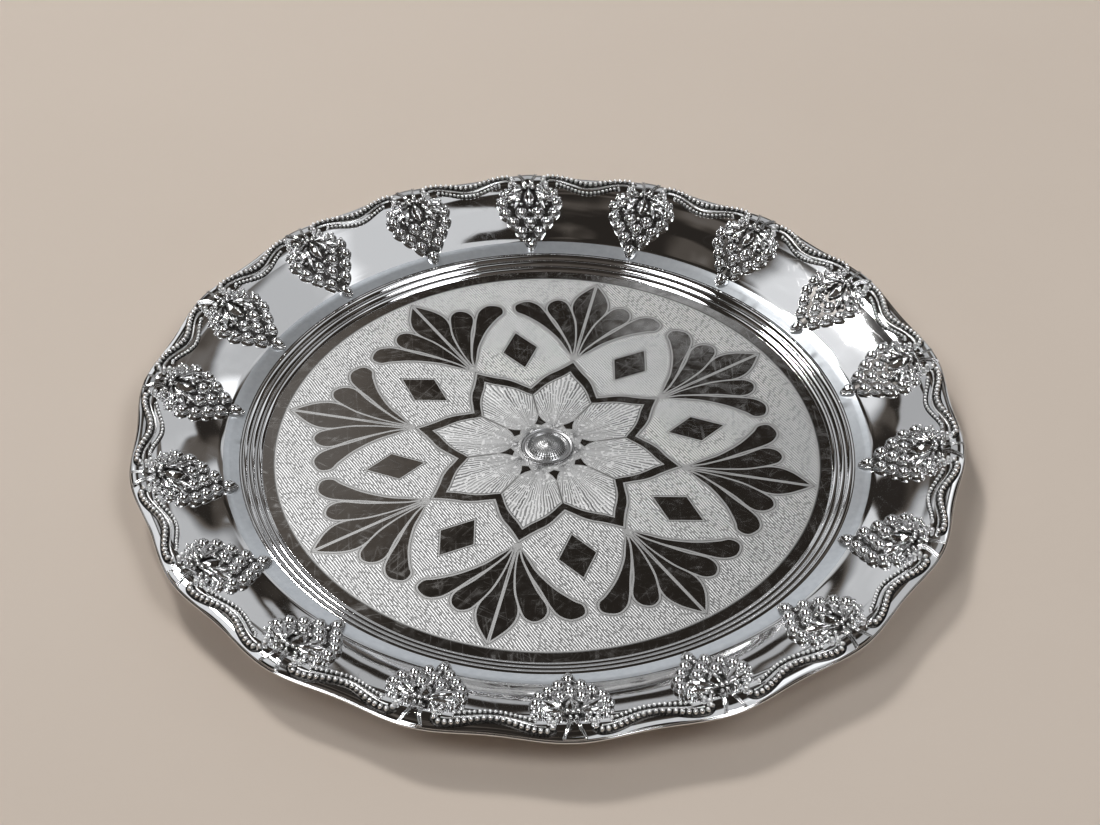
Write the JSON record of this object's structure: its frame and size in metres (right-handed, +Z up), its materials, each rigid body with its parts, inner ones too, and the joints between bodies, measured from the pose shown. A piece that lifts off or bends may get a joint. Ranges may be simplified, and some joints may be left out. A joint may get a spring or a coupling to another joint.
{
  "type": "puja thali",
  "caption": "Round silver-toned offering plate with a scalloped lip, applied grape mounts and beaded swags.",
  "frame": {"origin": "centre of the flat underside of the floor, on the surface that the plate rests on", "axes": "+Z up, out of the well, along the plate's axis; +X through the middle of a grape mount; +Y a quarter turn on, by the right-hand rule"},
  "size_m": [0.3, 0.2968, 0.0194],
  "materials": {
    "dish_metal": "polished, with fine cleaning scratches",
    "boss_metal": "polished",
    "mount_metal": "polished cast relief",
    "cord_metal": "polished beaded wire"
  },
  "bodies": {
    "root": {"dish": "dish_metal", "centre_boss": "boss_metal", "grape_mount_01": "mount_metal", "grape_mount_02": "mount_metal", "grape_mount_03": "mount_metal", "grape_mount_04": "mount_metal", "grape_mount_05": "mount_metal", "grape_mount_06": "mount_metal", "grape_mount_07": "mount_metal", "grape_mount_08": "mount_metal", "grape_mount_09": "mount_metal", "grape_mount_10": "mount_metal", "grape_mount_11": "mount_metal", "grape_mount_12": "mount_metal", "grape_mount_13": "mount_metal", "grape_mount_14": "mount_metal", "grape_mount_15": "mount_metal", "grape_mount_16": "mount_metal", "grape_mount_17": "mount_metal", "grape_mount_18": "mount_metal", "outer_cord_01": "cord_metal", "outer_cord_02": "cord_metal", "outer_cord_03": "cord_metal", "outer_cord_04": "cord_metal", "outer_cord_05": "cord_metal", "outer_cord_06": "cord_metal", "outer_cord_07": "cord_metal", "outer_cord_08": "cord_metal", "outer_cord_09": "cord_metal", "outer_cord_10": "cord_metal", "outer_cord_11": "cord_metal", "outer_cord_12": "cord_metal", "outer_cord_13": "cord_metal", "outer_cord_14": "cord_metal", "outer_cord_15": "cord_metal", "outer_cord_16": "cord_metal", "outer_cord_17": "cord_metal", "outer_cord_18": "cord_metal", "inner_cord_01": "cord_metal", "inner_cord_02": "cord_metal", "inner_cord_03": "cord_metal", "inner_cord_04": "cord_metal", "inner_cord_05": "cord_metal", "inner_cord_06": "cord_metal", "inner_cord_07": "cord_metal", "inner_cord_08": "cord_metal", "inner_cord_09": "cord_metal", "inner_cord_10": "cord_metal", "inner_cord_11": "cord_metal", "inner_cord_12": "cord_metal", "inner_cord_13": "cord_metal", "inner_cord_14": "cord_metal", "inner_cord_15": "cord_metal", "inner_cord_16": "cord_metal", "inner_cord_17": "cord_metal", "inner_cord_18": "cord_metal"}
  },
  "joints": []
}
